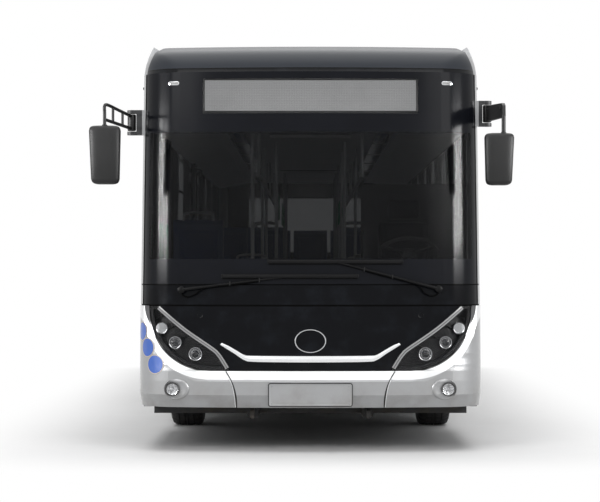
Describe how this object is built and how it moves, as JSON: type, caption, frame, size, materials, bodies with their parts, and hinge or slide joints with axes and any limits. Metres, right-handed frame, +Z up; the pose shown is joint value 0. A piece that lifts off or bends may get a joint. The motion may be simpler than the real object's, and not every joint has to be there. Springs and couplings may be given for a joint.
{
  "type": "city bus",
  "caption": "Two-axle low-floor electric city bus with glazed nose, inward-swinging double doors, steered front wheels and twin rear wheels.",
  "frame": {"origin": "on the ground under the middle of the bus's length, on its centre plane", "axes": "+Z up, -Y towards the front of the bus, +X towards its left side"},
  "size_m": [3.084, 12.12, 3.2299],
  "materials": {
    "silver_paint": "satin metallic",
    "black_gloss": "gloss",
    "clear_glass": "gloss",
    "lamp_parts": "gloss",
    "red_lens": "gloss",
    "display_grey": "matte",
    "charcoal": "matte",
    "white_plastic": "satin",
    "ceiling_white": "matte",
    "floor_grey": "matte",
    "chassis_black": "satin",
    "cast": "satin",
    "tyre": "matte",
    "wheel_silver": "satin",
    "door_frame": "satin",
    "steel_bar": "satin",
    "yellow_bar": "satin",
    "seat_blue": "satin",
    "seat_cloth": "matte"
  },
  "bodies": {
    "bus": {"front_frame": "silver_paint", "windscreen": "clear_glass", "front_cap": "black_gloss", "cowl_panel": "black_gloss", "front_flap": "black_gloss", "bumper_centre": "silver_paint", "bumper_corners": "silver_paint", "headlamp_lenses": "clear_glass", "front_lamps": "lamp_parts", "destination_display": "display_grey", "side_wall_left": "silver_paint", "side_wall_right": "silver_paint", "window_glass": "clear_glass", "roof": "silver_paint", "aircon_unit": "white_plastic", "ceiling": "ceiling_white", "rear_wall": "silver_paint", "rear_cap": "silver_paint", "rear_lamps": "red_lens", "cabin_floor": "floor_grey", "underframe": "chassis_black", "drive_units": "chassis_black", "wipers": "charcoal", "dashboard": "charcoal", "driver_seat": "seat_cloth", "driver_partition": "ceiling_white", "passenger_seats": "seat_blue", "handrails": "yellow_bar", "front_axle": "cast", "rear_axle": "cast"},
    "roof_hatch_front": {"roof_hatch_front": "white_plastic"},
    "roof_hatch_rear": {"roof_hatch_rear": "white_plastic"},
    "rear_hatch": {"rear_hatch": "silver_paint"},
    "mirror_left": {"mirror_left": "charcoal"},
    "mirror_right": {"mirror_right": "charcoal"},
    "steering_wheel": {"steering_wheel": "charcoal"},
    "knuckle_left": {"knuckle_left": "cast"},
    "knuckle_right": {"knuckle_right": "cast"},
    "wheel_front_left": {"rim_front_left": "wheel_silver", "tyre_front_left": "tyre"},
    "wheel_rear_left": {"rim_rear_left": "wheel_silver", "tyres_rear_left": "tyre"},
    "wheel_front_right": {"rim_front_right": "wheel_silver", "tyre_front_right": "tyre"},
    "wheel_rear_right": {"rim_rear_right": "wheel_silver", "tyres_rear_right": "tyre"},
    "front_door_arm_a": {"front_door_arm_a": "steel_bar"},
    "front_door_leaf_a": {"front_door_leaf_a": "door_frame", "front_door_glass_a": "clear_glass"},
    "front_door_arm_b": {"front_door_arm_b": "steel_bar"},
    "front_door_leaf_b": {"front_door_leaf_b": "door_frame", "front_door_glass_b": "clear_glass"},
    "middle_door_arm_a": {"middle_door_arm_a": "steel_bar"},
    "middle_door_leaf_a": {"middle_door_leaf_a": "door_frame", "middle_door_glass_a": "clear_glass"},
    "middle_door_arm_b": {"middle_door_arm_b": "steel_bar"},
    "middle_door_leaf_b": {"middle_door_leaf_b": "door_frame", "middle_door_glass_b": "clear_glass"}
  },
  "joints": [
    {"name": "steer_left", "type": "hinge", "parent": "bus", "child": "knuckle_left", "pos_m": [0.96, -3.3, 0.479], "axis": [0, 0, 1], "range_deg": [-45, 45]},
    {"name": "spin_front_left", "type": "hinge", "parent": "knuckle_left", "child": "wheel_front_left", "pos_m": [1.05, -3.3, 0.479], "axis": [1, 0, 0], "continuous": true},
    {"name": "spin_rear_left", "type": "hinge", "parent": "bus", "child": "wheel_rear_left", "pos_m": [0.93, 2.6, 0.479], "axis": [1, 0, 0], "continuous": true},
    {"name": "steer_right", "type": "hinge", "parent": "bus", "child": "knuckle_right", "pos_m": [-0.96, -3.3, 0.479], "axis": [0, 0, 1], "range_deg": [-45, 45]},
    {"name": "spin_front_right", "type": "hinge", "parent": "knuckle_right", "child": "wheel_front_right", "pos_m": [-1.05, -3.3, 0.479], "axis": [1, 0, 0], "continuous": true},
    {"name": "spin_rear_right", "type": "hinge", "parent": "bus", "child": "wheel_rear_right", "pos_m": [-0.93, 2.6, 0.479], "axis": [1, 0, 0], "continuous": true},
    {"name": "steering_wheel_turn", "type": "hinge", "parent": "bus", "child": "steering_wheel", "pos_m": [0.77, -4.89, 1.465], "axis": [0, 0.5, 0.866], "range_deg": [-900, 900]},
    {"name": "front_door_swing_a", "type": "hinge", "parent": "bus", "child": "front_door_arm_a", "pos_m": [-1.174, -5.297, 0.37], "axis": [0, 0, -1], "range_deg": [0, 77]},
    {"name": "front_door_turn_a", "type": "hinge", "parent": "front_door_arm_a", "child": "front_door_leaf_a", "pos_m": [-1.174, -4.987, 0.37], "axis": [0, 0, -1], "range_deg": [-154, 0]},
    {"name": "front_door_swing_b", "type": "hinge", "parent": "bus", "child": "front_door_arm_b", "pos_m": [-1.174, -4.013, 0.37], "axis": [0, 0, 1], "range_deg": [0, 77]},
    {"name": "front_door_turn_b", "type": "hinge", "parent": "front_door_arm_b", "child": "front_door_leaf_b", "pos_m": [-1.174, -4.323, 0.37], "axis": [0, 0, 1], "range_deg": [-154, 0]},
    {"name": "middle_door_swing_a", "type": "hinge", "parent": "bus", "child": "middle_door_arm_a", "pos_m": [-1.174, -0.547, 0.37], "axis": [0, 0, -1], "range_deg": [0, 77]},
    {"name": "middle_door_turn_a", "type": "hinge", "parent": "middle_door_arm_a", "child": "middle_door_leaf_a", "pos_m": [-1.174, -0.237, 0.37], "axis": [0, 0, -1], "range_deg": [-154, 0]},
    {"name": "middle_door_swing_b", "type": "hinge", "parent": "bus", "child": "middle_door_arm_b", "pos_m": [-1.174, 0.737, 0.37], "axis": [0, 0, 1], "range_deg": [0, 77]},
    {"name": "middle_door_turn_b", "type": "hinge", "parent": "middle_door_arm_b", "child": "middle_door_leaf_b", "pos_m": [-1.174, 0.427, 0.37], "axis": [0, 0, 1], "range_deg": [-154, 0]},
    {"name": "rear_hatch_hinge", "type": "hinge", "parent": "bus", "child": "rear_hatch", "pos_m": [0, 6.002, 1.178], "axis": [1, 0, 0], "range_deg": [0, 80]},
    {"name": "roof_hatch_front_hinge", "type": "hinge", "parent": "bus", "child": "roof_hatch_front", "pos_m": [0, -3.22, 3.018], "axis": [-1, 0, 0], "range_deg": [0, 75]},
    {"name": "roof_hatch_rear_hinge", "type": "hinge", "parent": "bus", "child": "roof_hatch_rear", "pos_m": [0, 3.08, 3.018], "axis": [-1, 0, 0], "range_deg": [0, 75]},
    {"name": "mirror_fold_left", "type": "hinge", "parent": "bus", "child": "mirror_left", "pos_m": [1.33, -5.5, 2.51], "axis": [0, 0, 1], "range_deg": [0, 100]},
    {"name": "mirror_fold_right", "type": "hinge", "parent": "bus", "child": "mirror_right", "pos_m": [-1.345, -5.5, 2.44], "axis": [0, 0, -1], "range_deg": [0, 100]}
  ],
  "couplings": [
    {"joint": "steer_right", "follows": "steer_left", "ratio": 1},
    {"joint": "steering_wheel_turn", "follows": "steer_left", "ratio": 20},
    {"joint": "front_door_turn_a", "follows": "front_door_swing_a", "ratio": -2},
    {"joint": "front_door_swing_b", "follows": "front_door_swing_a", "ratio": 1},
    {"joint": "front_door_turn_b", "follows": "front_door_swing_a", "ratio": -2},
    {"joint": "middle_door_turn_a", "follows": "middle_door_swing_a", "ratio": -2},
    {"joint": "middle_door_swing_b", "follows": "middle_door_swing_a", "ratio": 1},
    {"joint": "middle_door_turn_b", "follows": "middle_door_swing_a", "ratio": -2}
  ]
}
